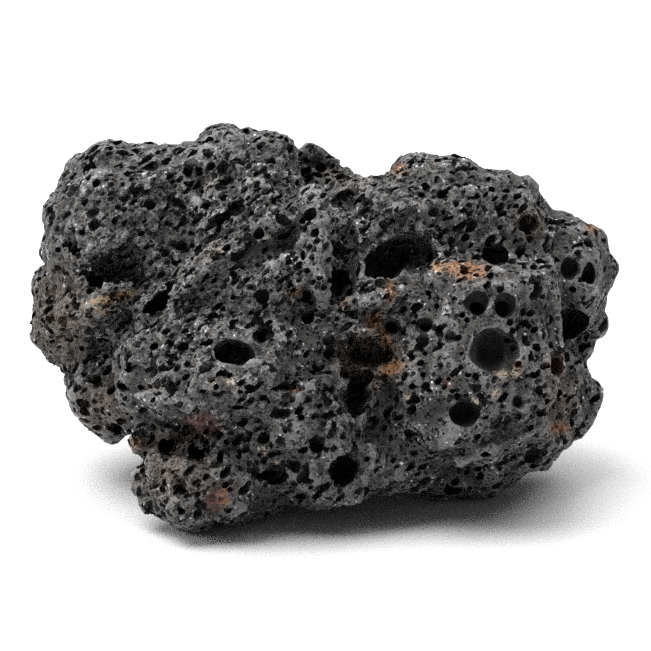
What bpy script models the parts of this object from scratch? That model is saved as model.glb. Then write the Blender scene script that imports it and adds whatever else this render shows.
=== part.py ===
"""A loose lump of lava rock (vesicular scoria), one solid, resting on three worn spots of its underside.

Metres, +Z up, the origin on the ground under the middle of the stone's box. The broad side with the large
blisters faces -Y.

The stone is laid out on a board that leans back, seen from the front at SIGHT_DISTANCE: u runs right across
the board, v up it and w out of it towards the viewer, all in millimetres.
"""

import math
import random

import bmesh
import bpy
from mathutils import Matrix, Vector
from mathutils.bvhtree import BVHTree

MM = 0.001

LEAN = math.radians(17)
SIGHT_DISTANCE = 420.0
BOARD_CENTRE = Vector((0.5, -2.2, 29.6))
BOARD_RIGHT = Vector((1, 0, 0))
BOARD_UP = Vector((0, math.sin(LEAN), math.cos(LEAN)))
BOARD_OUT = Vector((0, -math.cos(LEAN), math.sin(LEAN)))

# How the lumps grow together, and how many triangles the stone may have
LUMP_FINENESS = 4
UNION_VOXEL = 0.9
BLEND_STEPS = 14
SWELL = {"grain": 12, "height": 3.6, "level": 0.5}
KNOBS = {"grain": 8, "height": -3.4, "level": 0.3}
BODY_TRIANGLES = 7600
ROCK_TRIANGLES = 9750
WORN_DEPTH = 0.9

# name: centre (u, v, w), radii (u, v, w), turn on the board in degrees
LUMPS = {
    "core": ((-1, 0, -2), (36, 23, 22), -8),
    "back": ((2, 2, -14), (37, 24, 18), 4),
    "crown_left": ((-35, 15.4, 2), (13, 16.4, 17), 0),
    "crown_shoulder": ((-29.5, 23.4, 0), (9.0, 8.2, 11), 10),
    "crown_saddle": ((-21.5, 25.2, -2), (9, 7.6, 13), 0),
    "crown_mid": ((-16, 17, 3), (14, 14, 17), 0),
    "crown_back": ((-17, 29.2, -5), (7, 5.5, 9), 0),
    "crest": ((-12, 27, 7), (8, 6, 9), 18),
    "knob_back": ((-2.5, 28.5, -13), (4.0, 4.0, 5), 0),
    "saddle": ((4, 22.8, -9), (7, 5.5, 9), 0),
    "brow": ((-9, 19, 13), (8, 6, 9), 35),
    "nose": ((-2.5, 13, 13), (4.0, 10.5, 11), 0),
    "rib_upper": ((-19, 14, 14), (13, 3.5, 8), 40),
    "rib_lower": ((-22, 7, 14), (13, 4.0, 9), 35),
    "flank_mid": ((-12, 6, 12), (13, 8, 12), 20),
    "cheek": ((-38.5, 4, 6), (7.5, 7.5, 12), 0),
    "belly_left": ((-17, -7.5, 12), (18, 12.5, 16), 0),
    "belly_edge": ((-30, -9.5, 13), (6.8, 7.2, 9), 0),
    "foot_left": ((-20, -26.2, 11), (12, 9.6, 13), 0),
    "foot_heel": ((-28.5, -19, 0), (5, 5.5, 9), 0),
    "foot_bulge": ((-17, -25, 16), (7, 7.5, 9), 0),
    "chin_left": ((-9, -25, 9), (7.5, 6.8, 10), 0),
    "belly_mid": ((-5, -14, 10), (13, 13, 16), 0),
    "chin": ((0, -23.5, 11), (11, 7.5, 12), 0),
    "chin_right": ((12, -22.5, 6), (9, 6, 10), 0),
    "bridge": ((2, 1, 12), (7, 4.5, 11), 0),
    "lip": ((10, 3.5, 14), (7, 3.8, 9), -10),
    "shoulder_right": ((18, 16, -1), (16, 14, 17), -8),
    "shoulder_far": ((30, 17, -3), (10, 10, 14), 0),
    "face_top": ((26, 4.5, 9), (14, 9, 15), 0),
    "face_edge": ((37, 3, 9), (3.8, 9.5, 8), 0),
    "face_right": ((25, -7, 12), (15.5, 12, 16), 0),
    "face_corner": ((35.5, -16.5, 9), (3.5, 5, 6), 0),
    "face_low": ((23, -16, 11), (14, 8.5, 14), 0),
    "lobe_right": ((42.4, 8.5, -7), (7.2, 11.8, 12), 0),
    "lobe_right_low": ((38.5, -12, -8), (8.4, 11, 12), 0),
    "flank_low": ((31, -19, 0), (11, 8.5, 12), 0),
    "foot_right": ((23.5, -24.6, -3), (10, 6.2, 9), 0),
    "lobe_left": ((-42.1, 2.6, -10), (9.0, 10.4, 13), 0),
    "lobe_left_low": ((-35.3, -11.0, -9), (9.8, 9.3, 13), 0),
    "back_left": ((-24, 6, -22), (14, 15, 11), 0),
    "back_low": ((-6, -12, -22), (20, 10, 10), 0),
    "back_right": ((22, 8, -22), (15, 13, 10), 0),
    "foot_back": ((-4, -15.7, -24), (13, 7, 9), 0),
}

# Hollows of the broad side: (u, v), radii (across, up, into the stone), turn, and how far the middle lies
# under the surface
HOLLOWS = {
    "window": ((-35.4, 10.1), (4.5, 2.8, 6.0), 20, 1.7),
    "window_floor": ((-33, 8), (2.6, 2.3, 2.5), 0, 0.3),
    "slot": ((-29, 4.3), (3.3, 1.6, 6), 35, 2.2),
    "gully": ((-35, 0.6), (4.5, 0.9, 1.4), 40, 0.1),
    "crown_pit": ((-29.8, 20.8), (1.0, 1.0, 1.5), 0, 0.3),
    "crown_slit": ((-39.5, 19.3), (1.2, 0.8, 1.2), 30, 0.2),
    "crest_pit": ((-17.8, 23.7), (1.1, 0.9, 1.5), 0, 0.3),
    "crest_slit": ((-17.6, 26.9), (0.9, 1.3, 1.4), -30, 0.3),
    "notch": ((-0.6, 26.9), (1.3, 1.1, 1.8), 0, 0.2),
    "brow_pit": ((-11.3, 15.4), (1.0, 1.0, 1.8), 0, 0.4),
    "brow_dent": ((-7.2, 17.9), (1.5, 1.0, 1.2), -20, 0.1),
    "rib_pit": ((-14.9, 19.6), (1.4, 0.9, 1.6), 35, 0.3),
    "rib_slit": ((-18.4, 16.7), (0.8, 1.6, 1.6), -10, 0.3),
    "flank_dent": ((-24.7, 13.7), (1.1, 0.9, 1.4), 0, 0.3),
    "flank_slit": ((-15, 12), (1.6, 0.8, 1.4), 30, 0.2),
    "flank_pit": ((-10.6, 4.7), (1.2, 1.2, 2.2), 0, 0.6),
    "nose_pit": ((-2.6, 19.1), (1.2, 1.0, 2.0), 30, 0.5),
    "nose_pit_low": ((-2.1, 15.9), (0.9, 0.9, 1.8), 0, 0.4),
    "belly_blister": ((-15.7, -4.5), (3.4, 2.3, 5.0), -8, 1.6),
    "belly_slit": ((-10.5, -1.3), (2.0, 1.3, 3.0), 30, 0.8),
    "belly_pit": ((-24.2, -3.4), (1.0, 0.9, 1.6), 0, 0.3),
    "cave_nose": ((3.0, 8.1), (2.4, 3.1, 8), 0, 2.5),
    "cave_nose_top": ((2.5, 13.3), (2.1, 1.7, 4), 0, 0.8),
    "cave_shoulder": ((10.5, 12), (5.0, 2.9, 7), 48, 2.0),
    "cave_mouth": ((14.7, 12.5), (3.6, 3.4, 4.5), 0, 0.3),
    "saddle_dent": ((3, 21.8), (2.2, 2.4, 3.0), 0, 0.2),
    "shoulder_pit": ((28.8, 12.3), (2.3, 2.1, 4.0), 0, 0.9),
    "shoulder_dent": ((18.4, 19.3), (1.1, 0.9, 1.3), 0, 0.2),
    "ear": ((34.8, 17.4), (1.7, 1.5, 2.4), 0, 0.4),
    "eye_left": ((25.9, 3.8), (1.8, 1.9, 2.8), 0, 0.7),
    "eye_right": ((30.3, 3.1), (1.6, 1.9, 2.6), 0, 0.6),
    "face_blister": ((28.8, -4.2), (4.0, 4.0, 4.6), 0, 1.2),
    "face_pit": ((23.4, -15.2), (2.3, 2.2, 3.2), 0, 0.9),
    "face_dent": ((32.7, -13.2), (1.1, 1.4, 1.2), 0, 0.1),
    "face_slit": ((36, -14.7), (0.8, 1.5, 1.5), 0, 0.3),
    "dimple": ((16.7, 0.1), (1.5, 1.3, 1.8), 0, 0.2),
    "dimple_left": ((11.3, -0.1), (1.5, 1.4, 1.8), 0, 0.2),
    "dimple_low": ((21.2, -2), (1.0, 1.0, 1.0), 0, 0.1),
    "lobe_pit": ((41.6, 9.9), (1.4, 1.9, 2.6), 0, 0.6),
    "lobe_pit_far": ((45.1, 8.9), (1.2, 2.1, 2.6), 0, 0.6),
    "side_cave": ((41.6, -1.1), (3.6, 2.6, 7), 12, 1.9),
    "side_cave_low": ((39.4, -6.5), (2.2, 1.9, 4), 0, 0.5),
    "hollow": ((7, -4.7), (4.6, 2.8, 5.5), 0, 1.1),
    "hollow_left": ((0.8, -2.8), (1.1, 1.1, 2.2), 0, 0.4),
    "crevice": ((5.7, -12.3), (1.9, 4.0, 7), -6, 1.5),
    "heart": ((-1.4, -20.1), (1.3, 1.2, 2.2), 0, 0.6),
    "cleft": ((3, -25.2), (2.2, 2.6, 5.5), -38, 1.6),
    "cleft_tail": ((-0.6, -28.0), (0.9, 2.2, 2.5), -38, 0.4),
    "chin_pit": ((-9.1, -25.8), (2.4, 1.5, 3.0), 0, 0.7),
    "foot_hollow": ((-26, -19.5), (6.2, 3.0, 5.0), -10, 0.9),
    "foot_pit": ((-27, -20.2), (1.8, 1.6, 5), 0, 1.0),
    "foot_pit_right": ((-22.4, -21.5), (1.6, 1.3, 5), 0, 1.0),
    "foot_dent": ((-25, -27.6), (1.3, 1.6, 1.2), 0, 0.0),
    "flank_slot": ((35.3, -22.3), (1.9, 0.9, 2.5), 45, 0.3),
    "lobe_left_pit": ((-35.4, -18.0), (1.1, 1.6, 2.5), 45, 0.4),
    "lobe_far_pit": ((-46.2, 6.2), (0.9, 1.1, 2.0), 0, 0.3),
    "lobe_low_dent": ((-39.2, -9.3), (1.4, 1.4, 1.2), 0, 0.0),
}

# From this radius on, a hollow's ball has more faces
FINE_FROM = 1.5

# The blisters of the other sides: how many, their smallest radius, the share of large ones, the room between
# them, and their roundness, their depth and how far their middle lies under the surface, as shares of the
# radius. They stay off what faces the viewer more than FAR_FACING and what faces down more than FAR_UNDER.
FAR_SEED = 11
FAR_COUNT = 46
FAR_SMALLEST = 0.95
FAR_SPREAD = 0.93
FAR_ROOM = 1.25
FAR_ROUND = (0.7, 1.0)
FAR_DEPTH = 1.25
FAR_SINK = 0.3
FAR_FACING = 0.1
FAR_UNDER = 0.6
MIDDLE = (0, 0, -4)
OUTSIDE = 120

BASALT_COLOUR = (0.06, 0.061, 0.065, 1)
BASALT_ROUGHNESS = 0.85


def on_board(u, v, w):
    """The place in the stone's own frame, in millimetres, of a point given on the board."""
    nearer = 1 - w / SIGHT_DISTANCE
    return BOARD_CENTRE + BOARD_RIGHT * (u * nearer) + BOARD_UP * (v * nearer) + BOARD_OUT * w


def board_turn(turn):
    """The rotation of a shape that stands square on the board and is then turned in its plane."""
    return Matrix.Rotation(-LEAN, 3, "X") @ Matrix.Rotation(math.radians(-turn), 3, "Y")


def add_object(name, build):
    """A new object whose mesh is what build puts into an empty bmesh."""
    mesh = bpy.data.meshes.new(name)
    bm = bmesh.new()
    build(bm)
    bm.to_mesh(mesh)
    bm.free()
    obj = bpy.data.objects.new(name, mesh)
    bpy.context.scene.collection.objects.link(obj)
    return obj


def add_ball(bm, centre, radii, rotation, fineness):
    """A ball of radii (across, up, through), all in millimetres."""
    across, up, through = radii
    shape = Matrix.Translation(centre) @ rotation.to_4x4() @ Matrix.Diagonal((across, through, up, 1))
    in_metres = Matrix.Scale(MM, 4) @ shape
    bmesh.ops.create_icosphere(bm, subdivisions=fineness, radius=1.0, matrix=in_metres)


def apply_modifiers(obj):
    graph = bpy.context.evaluated_depsgraph_get()
    mesh = bpy.data.meshes.new_from_object(obj.evaluated_get(graph))
    obj.modifiers.clear()
    obj.data = mesh


def add_remesh(obj, name):
    """One closed skin round everything that overlaps or folds into itself."""
    remesh = obj.modifiers.new(name, "REMESH")
    remesh.mode = "VOXEL"
    remesh.voxel_size = UNION_VOXEL * MM


def add_noise(obj, kind, grain, height, level):
    """Pushes the surface in and out by a procedural texture of that grain and height, in millimetres."""
    texture = bpy.data.textures.new(kind, kind)
    texture.noise_scale = grain * MM
    displace = obj.modifiers.new(kind, "DISPLACE")
    displace.texture = texture
    displace.texture_coords = "LOCAL"
    displace.strength = height * MM
    displace.mid_level = level


def decimate(obj, triangles):
    count = sum(len(face.vertices) - 2 for face in obj.data.polygons)
    fewer = obj.modifiers.new("fewer", "DECIMATE")
    fewer.ratio = min(1.0, triangles / count)
    fewer.use_collapse_triangulate = True
    apply_modifiers(obj)


def build_lumps(bm):
    for centre, radii, turn in LUMPS.values():
        add_ball(bm, on_board(*centre), radii, board_turn(turn), LUMP_FINENESS)


def make_body():
    """The lumps grown together into one knobbly stone, with no hollows yet."""
    rock = add_object("lava_rock", build_lumps)
    add_remesh(rock, "union")
    blend = rock.modifiers.new("blend", "SMOOTH")
    blend.iterations = BLEND_STEPS
    add_noise(rock, "CLOUDS", **SWELL)
    add_noise(rock, "VORONOI", **KNOBS)
    add_remesh(rock, "skin")
    apply_modifiers(rock)
    decimate(rock, BODY_TRIANGLES)
    return rock


def surface_of(obj):
    bm = bmesh.new()
    bm.from_mesh(obj.data)
    tree = BVHTree.FromBMesh(bm)
    bm.free()
    return tree


def add_hollow(bm, point, normal, radii, rotation, depth):
    fineness = 2 if max(radii[:2]) > FINE_FROM else 1
    add_ball(bm, point - normal * depth, radii, rotation, fineness)


def add_front_hollows(bm, surface):
    eye = on_board(0, 0, SIGHT_DISTANCE)
    for (u, v), radii, turn, depth in HOLLOWS.values():
        sight = (on_board(u, v, 0) - eye).normalized()
        point, normal, _, _ = surface.ray_cast(eye * MM, sight)
        add_hollow(bm, point / MM, normal, radii, board_turn(turn), depth)


def add_far_hollows(bm, surface):
    """Blisters of many sizes on the sides that face away from the board's viewer, none on the worn feet."""
    rng = random.Random(FAR_SEED)
    middle = on_board(*MIDDLE)
    placed = []
    while len(placed) < FAR_COUNT:
        way = Vector((rng.gauss(0, 1), rng.gauss(0, 1), rng.gauss(0, 1))).normalized()
        radius = FAR_SMALLEST / math.sqrt(1 - FAR_SPREAD * rng.random())
        stretch = rng.uniform(*FAR_ROUND)
        point, normal, _, _ = surface.ray_cast((middle + way * OUTSIDE) * MM, -way)
        point = point / MM
        if normal.dot(BOARD_OUT) > FAR_FACING or normal.z < -FAR_UNDER:
            continue
        if any((point - other).length < (radius + taken) * FAR_ROOM for other, taken in placed):
            continue
        placed.append((point, radius))
        rotation = normal.to_track_quat("Y", "Z").to_matrix()
        radii = (radius, radius * stretch, radius * FAR_DEPTH)
        add_hollow(bm, point, normal, radii, rotation, radius * FAR_SINK)


def cut_hollows(rock):
    surface = surface_of(rock)

    def build(bm):
        add_front_hollows(bm, surface)
        add_far_hollows(bm, surface)

    balls = add_object("hollows", build)
    balls.hide_render = True
    balls.display_type = "WIRE"
    cut = rock.modifiers.new("cut", "BOOLEAN")
    cut.operation = "DIFFERENCE"
    cut.object = balls
    cut.use_self = True
    apply_modifiers(rock)
    bpy.data.objects.remove(balls)


def wear_feet(rock):
    """Cuts the lowest knobs off flat, which leaves three worn spots that the stone stands on."""
    bm = bmesh.new()
    bm.from_mesh(rock.data)
    ground = min(vert.co.z for vert in bm.verts) + WORN_DEPTH * MM
    everything = bm.verts[:] + bm.edges[:] + bm.faces[:]
    plane = {"plane_co": (0, 0, ground), "plane_no": (0, 0, -1)}
    bmesh.ops.bisect_plane(bm, geom=everything, clear_outer=True, **plane)
    rims = [edge for edge in bm.edges if edge.is_boundary]
    bmesh.ops.holes_fill(bm, edges=rims)
    bm.to_mesh(rock.data)
    bm.free()


def stand_on_origin(rock):
    """Puts the origin on the ground under the middle of the stone's box."""
    corners = [Vector(corner) for corner in rock.bound_box]
    low, high = corners[0], corners[6]
    shift = Vector(((low.x + high.x) / 2, (low.y + high.y) / 2, low.z))
    rock.data.transform(Matrix.Translation(-shift))
    print("moved onto the origin by", [round(value / MM, 2) for value in -shift], "mm")


def finish(rock):
    basalt = bpy.data.materials.new("vesicular_basalt")
    basalt.use_nodes = True
    shader = basalt.node_tree.nodes["Principled BSDF"]
    shader.inputs["Base Color"].default_value = BASALT_COLOUR
    shader.inputs["Roughness"].default_value = BASALT_ROUGHNESS
    shader.inputs["Metallic"].default_value = 0.0
    rock.data.materials.append(basalt)


def main():
    for obj in list(bpy.data.objects):
        bpy.data.objects.remove(obj)
    rock = make_body()
    cut_hollows(rock)
    decimate(rock, ROCK_TRIANGLES)
    wear_feet(rock)
    stand_on_origin(rock)
    finish(rock)


main()
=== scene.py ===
import math
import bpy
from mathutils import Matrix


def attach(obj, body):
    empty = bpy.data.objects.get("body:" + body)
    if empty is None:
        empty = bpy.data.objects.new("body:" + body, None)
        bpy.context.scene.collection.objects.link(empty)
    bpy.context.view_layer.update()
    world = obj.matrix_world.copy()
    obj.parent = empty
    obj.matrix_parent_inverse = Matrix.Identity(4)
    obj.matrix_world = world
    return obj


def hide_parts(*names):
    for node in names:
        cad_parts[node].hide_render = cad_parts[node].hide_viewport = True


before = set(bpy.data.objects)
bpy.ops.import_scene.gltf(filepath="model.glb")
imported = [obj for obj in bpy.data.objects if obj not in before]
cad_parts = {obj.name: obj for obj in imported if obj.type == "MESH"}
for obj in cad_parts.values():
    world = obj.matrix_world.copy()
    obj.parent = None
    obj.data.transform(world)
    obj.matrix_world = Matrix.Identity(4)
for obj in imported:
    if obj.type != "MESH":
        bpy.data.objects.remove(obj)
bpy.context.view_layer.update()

from types import SimpleNamespace

import bpy
import numpy as np
from mathutils import Matrix, Vector
from mathutils.bvhtree import BVHTree
from mathutils.kdtree import KDTree

mm = 0.001

# The stone is laid out on a board that leans back: u right, v up, w out of the board, in millimetres
board = {
    "centre": (0.59, -2.13, 29.0),
    "lean": 17.0,             # degrees
    "sight": 420.0,           # from the eye to the board
    "frameWidth": 110.67,     # what the camera takes in at the board
}
boardCentre = Vector(board["centre"])
boardRight = Vector((1, 0, 0))
boardLean = math.radians(board["lean"])
boardUp = Vector((0, math.sin(boardLean), math.cos(boardLean)))
boardOut = boardRight.cross(boardUp)
eye = boardCentre + boardOut * board["sight"]


def onBoard(u, v, w):
    # the point that is seen at (u, v) from the eye and lies w in front of the board
    nearer = 1 - w / board["sight"]
    return boardCentre + boardRight * (u * nearer) + boardUp * (v * nearer) + boardOut * w


def boardPlaces(points):
    away = points - np.array(boardCentre)
    w = away @ np.array(boardOut)
    nearer = 1 - w / board["sight"]
    return away @ np.array(boardRight) / nearer, away @ np.array(boardUp) / nearer, w


def boardTurn(turn):
    # axes along the board, into it and up it, turned anticlockwise by so many degrees
    return np.array(Matrix.Rotation(-boardLean, 3, "X") @ Matrix.Rotation(math.radians(-turn), 3, "Y"))


# ---- small helpers

def selectOnly(obj):
    bpy.ops.object.select_all(action="DESELECT")
    obj.select_set(True)
    bpy.context.view_layer.objects.active = obj


def addModifier(obj, kind, **settings):
    modifier = obj.modifiers.new(kind.lower(), kind)
    for name, value in settings.items():
        setattr(modifier, name, value)
    return modifier


def applyModifiers(obj):
    selectOnly(obj)
    for modifier in list(obj.modifiers):
        bpy.ops.object.modifier_apply(modifier=modifier.name)


def triangleCount(obj):
    return sum(len(face.vertices) - 2 for face in obj.data.polygons)


def addDisplace(obj, kind, grain, height, level, group="", frameOf=None):
    texture = bpy.data.textures.new(kind.lower(), kind)
    texture.noise_scale = grain * mm
    if kind == "VORONOI":
        texture.distance_metric = "DISTANCE_SQUARED"      # round domes instead of cones
    displace = addModifier(obj, "DISPLACE", texture=texture, strength=height * mm, mid_level=level,
                           vertex_group=group)
    displace.texture_coords = "OBJECT" if frameOf else "LOCAL"
    displace.texture_coords_object = frameOf


def weighVertices(obj, name, weights):
    group = obj.vertex_groups.new(name=name)
    levels = 20
    steps = np.round(np.clip(weights, 0, 1) * levels).astype(int)
    for step in range(1, levels + 1):
        group.add(np.flatnonzero(steps == step).tolist(), step / levels, "REPLACE")


def pointsOf(obj):
    points = np.empty(len(obj.data.vertices) * 3, np.float32)
    obj.data.vertices.foreach_get("co", points)
    return points.reshape(-1, 3).astype(float) / mm


def normalsOf(obj):
    normals = np.empty(len(obj.data.vertices) * 3, np.float32)
    obj.data.vertices.foreach_get("normal", normals)
    return normals.reshape(-1, 3)


# ---- the stone's skin

skin = {
    "voxel": 0.5,             # mm, the grid that the skin is drawn on
    "smoothing": 2,
    "lumps": {"kind": "CLOUDS", "grain": 4.0, "height": 1.3, "level": 0.5},
    "domes": {"kind": "VORONOI", "grain": 5.4, "height": -1.6, "level": 0.22},
    "knobs": {"kind": "VORONOI", "grain": 1.7, "height": -0.8, "level": 0.22},
    "grit": {"kind": "CLOUDS", "grain": 0.8, "height": 0.9, "level": 0.5},
    "tears": {"kind": "CLOUDS", "grain": 0.7, "height": 1.3, "level": 0.5},
    "tearStretch": 1.8,       # how much longer than wide the tears are
    "calm": 0.45,             # the share of the knobs and grit that is left where nothing is torn
    "groundClear": 0.9,       # mm, no displacement under this height, so that the feet stay flat
    "groundFade": 2,          # mm over which it then comes in
    "quietPlace": (48.5, 6.0),     # the lobe at the right has a rounder, quieter skin
    "quietReach": 9.0,        # mm
    "quietLeft": 0.35,        # the share of the displacement that is left there
    "ribReach": 0.8,          # mm round a rib's middle where its footing is measured
    "behind": -12,            # mm, w behind which the skin is evenly torn, and how much
    "behindTorn": 0.35,
    "triangles": 199000,      # thinned to this
    "farLeast": 0.4,          # how freely the front's may go, against 1 for the far side's
    "farFactor": 1.5,         # how much that counts
    "sharp": 50,              # degrees, edges that stay sharp
}

# Where the froth was drawn out and torn while it was still soft: (u, v), reach in millimetres, strength
flow = {
    "rise": 40,               # degrees that the drawn-out bubbles rise to the right
    "torn": [((-30, 12), 17, 1.0), ((-14, 20), 12, 1.0), ((-24, 1), 11, 1.0), ((12, 21), 11, 1.0),
             ((-12, 8), 9, 1.0), ((3, 17), 7, 1.0), ((-17, -10), 13, 0.55), ((-25, -24), 9, 0.75),
             ((3, -20), 12, 0.45), ((43, 6), 9, 0.35), ((-43, -2), 10, 0.7), ((26, 18), 8, 0.6),
             ((34, -18), 9, 0.5), ((7, 1), 8, 0.85)],
}

# Ribs and knobs that stand out of the skin: (u, v), radii (along, across, out), turn, height of the middle
ribs = {
    "crestSpine": ((-14.5, 28.6), (5.0, 2.8, 3.2), -58, -0.6),
    "crestLeftEdge": ((-18.0, 27.0), (5.4, 1.5, 2.6), 76, -0.2),
    "crestRightEdge": ((-10.6, 27.0), (6.4, 1.5, 2.6), -44, -0.2),
    "crestKnob": ((-19.3, 23.2), (2.7, 2.3, 2.8), 20, -0.5),
    "crestFoot": ((-12.4, 23.0), (3.6, 2.2, 2.4), 10, -0.5),
    "noseKnob": ((-2.4, 20.8), (3.3, 3.0, 3.4), 10, 0.0),
    "noseRidge": ((-0.9, 11.8), (8.6, 2.3, 3.4), -87, -0.5),
    "noseSpur": ((-5.6, 19.2), (4.0, 1.4, 2.2), 38, -0.3),
    "noseFlank": ((-3.6, 10.6), (5.0, 2.0, 2.0), 80, -0.5),
    "browRib": ((-7.6, 17.6), (5.4, 1.4, 2.4), 28, -0.3),
    "ribHigh": ((-15, 14.5), (7.0, 1.5, 2.3), 38, -0.3),
    "caveBack": ((41.6, -0.8), (3.4, 3.4, 3.4), 0, -2.6),
    "caveBackRight": ((43.6, 0.6), (2.4, 3.0, 3.0), 0, -2.6),
    "ribMid": ((-20, 9.5), (7.5, 1.5, 2.3), 34, -0.3),
    "ribLow": ((-26.5, 3), (6.0, 1.4, 2.0), 40, -0.3),
    "ribInner": ((-9.4, 9.4), (4.4, 1.4, 2.0), 46, -0.3),
    "saddleKnobLeft": ((-7.4, 31.0), (2.0, 2.0, 2.0), 0, -0.6),
    "saddleKnobRight": ((-3.0, 29.2), (2.3, 2.2, 2.3), 0, -0.6),
    "saddleKnobLow": ((0.9, 27.9), (1.2, 1.1, 1.2), 0, -0.4),
    "mantle": ((-3.2, 26), (5.5, 1.2, 1.9), -48, -0.2),
    "lipEdge": ((8.2, 4.6), (6.4, 1.3, 2.2), 14, -0.2),
    "lipLow": ((4.6, -0.4), (4.4, 1.0, 1.7), -8, -0.3),
    "lipKnob": ((9.5, 7.0), (2.4, 1.7, 2.2), 20, -0.3),
    "bellyRim": ((-24, -13.6), (8.5, 1.7, 2.6), -12, -0.3),
    "bellyBulge": ((-16, -9.6), (7.5, 4.0, 2.2), 10, -0.6),
    "bellyRib": ((-4.5, -12.0), (6.0, 1.5, 1.8), 30, -0.3),
    "eyeBrow": ((28.0, 6.9), (3.6, 1.2, 1.2), 4, -0.4),
    "eyeBridge": ((28.3, 3.3), (2.4, 0.6, 1.2), 78, -0.2),
    "blisterRim": ((23.9, -3.6), (3.6, 0.8, 1.5), 86, -0.3),
    "faceEdge": ((39.0, 2), (6.4, 1.2, 2.0), -84, -0.2),
    "faceEdgeLow": ((37.2, -9.5), (4.8, 1.2, 2.0), 84, -0.2),
    "lowEdge": ((29, -20.6), (7.5, 1.3, 2.1), 22, -0.3),
    "windowSill": ((-35.6, 6.6), (4.6, 1.1, 2.0), 14, -0.2),
    "flankFill": ((-31.6, -20.0), (3.0, 2.8, 2.8), 0, -0.6),
    "windowHood": ((-37, 14.0), (5.4, 1.4, 2.4), 24, -0.3),
    "crownBrow": ((-30.5, 24.5), (5.5, 2.2, 2.0), 12, -0.5),
    "shoulderRib": ((14.5, 20.2), (5.4, 1.4, 1.9), 14, -0.3),
    "shoulderKnob": ((23.6, 22.6), (3.4, 2.4, 2.0), -20, -0.5),
}


def addBall(name, middle, shape, fineness):
    # shape: a 3 x 3 matrix whose columns are the ball's axes times its radii
    bpy.ops.mesh.primitive_ico_sphere_add(subdivisions=fineness, radius=1)
    ball = bpy.context.object
    ball.name = name
    place = Matrix([list(row) + [0] for row in shape * mm] + [[0, 0, 0, 1]])
    ball.data.transform(Matrix.Translation(Vector(middle) * mm) @ place)
    return ball


def joinAll(name, objects):
    bpy.ops.object.select_all(action="DESELECT")
    for obj in objects:
        obj.select_set(True)
    bpy.context.view_layer.objects.active = objects[0]
    bpy.ops.object.join()
    objects[0].name = name
    return objects[0]


def treeOf(obj):
    return BVHTree.FromPolygons([vert.co / mm for vert in obj.data.vertices],
                                [tuple(face.vertices) for face in obj.data.polygons])


def skinPlace(tree, u, v, reach):
    # where the skin is at (u, v), as if nothing were cut there: the middle of what sight lines round it meet
    depths = []
    normals = []
    lines = 10
    for step in range(lines):
        angle = step * math.tau / lines
        sight = (onBoard(u + math.cos(angle) * reach, v + math.sin(angle) * reach, 0) - eye).normalized()
        place, normal, _, depth = tree.ray_cast(eye, sight)
        if place:
            depths.append(depth)
            normals.append(normal)
    sight = (onBoard(u, v, 0) - eye).normalized()
    return eye + sight * float(np.median(depths)), sum(normals, Vector()).normalized()


def tornShare(u, v):
    # 1 inside a torn spot, and nothing from a third beyond its reach
    share = np.zeros_like(u)
    for (spotU, spotV), reach, strength in flow["torn"]:
        away = np.hypot(u - spotU, v - spotV) / reach
        share = np.maximum(share, strength * np.clip(1.6 - 1.2 * away, 0, 1))
    return share


def tornBehind(u, v, w):
    # the far side is torn in bands
    return 0.5 + 0.5 * np.sin(u / 9 + 1) * np.sin(v / 8 + w / 11)


def addRibs(stone):
    tree = treeOf(stone)
    parts = [stone]
    for name, ((u, v), (along, across, out), turn, height) in ribs.items():
        place, outward = skinPlace(tree, u, v, skin["ribReach"])
        shape = boardTurn(turn) @ np.diag((along, out, across))
        parts.append(addBall(name, place + outward * height, shape, 3))
    return joinAll("lava_rock_stone", parts)


def buildSkin():
    selectOnly(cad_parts["lava_rock"])
    bpy.ops.object.duplicate()
    stone = bpy.context.object
    stone.data.name = "lava_rock_stone"
    bpy.ops.object.mode_set(mode="EDIT")
    bpy.ops.mesh.select_all(action="SELECT")
    bpy.ops.mesh.remove_doubles(threshold=0.00001)
    bpy.ops.object.mode_set(mode="OBJECT")
    stone = addRibs(stone)
    addModifier(stone, "REMESH", mode="VOXEL", voxel_size=skin["voxel"] * mm)
    addModifier(stone, "SMOOTH", iterations=skin["smoothing"])
    applyModifiers(stone)
    points = pointsOf(stone)
    u, v, w = boardPlaces(points)
    quietU, quietV = skin["quietPlace"]
    quiet = np.clip(1.8 - 1.2 * np.hypot(u - quietU, v - quietV) / skin["quietReach"], 0, 1)
    raised = np.clip((points[:, 2] - skin["groundClear"]) / skin["groundFade"], 0, 1)
    raised *= 1 - (1 - skin["quietLeft"]) * quiet
    weighVertices(stone, "raised", raised)
    torn = np.where(w > skin["behind"], tornShare(u, v), skin["behindTorn"])
    weighVertices(stone, "torn", raised * torn)
    weighVertices(stone, "frothy", raised * np.clip(skin["calm"] + torn, 0, 1))
    bpy.ops.object.empty_add()
    grain = bpy.context.object
    stretch = Matrix.Diagonal((skin["tearStretch"], 1, 1, 1))
    grain.matrix_world = Matrix(boardTurn(flow["rise"])).to_4x4() @ stretch
    bpy.context.view_layer.update()
    for layer, group in (("lumps", "raised"), ("domes", "raised"), ("knobs", "frothy"), ("grit", "frothy")):
        addDisplace(stone, **skin[layer], group=group)
    addDisplace(stone, **skin["tears"], group="torn", frameOf=grain)
    applyModifiers(stone)
    bpy.data.objects.remove(grain)
    stone.vertex_groups.clear()
    print("skin:", triangleCount(stone), "triangles")
    return stone


# ---- blisters and bubbles

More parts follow.
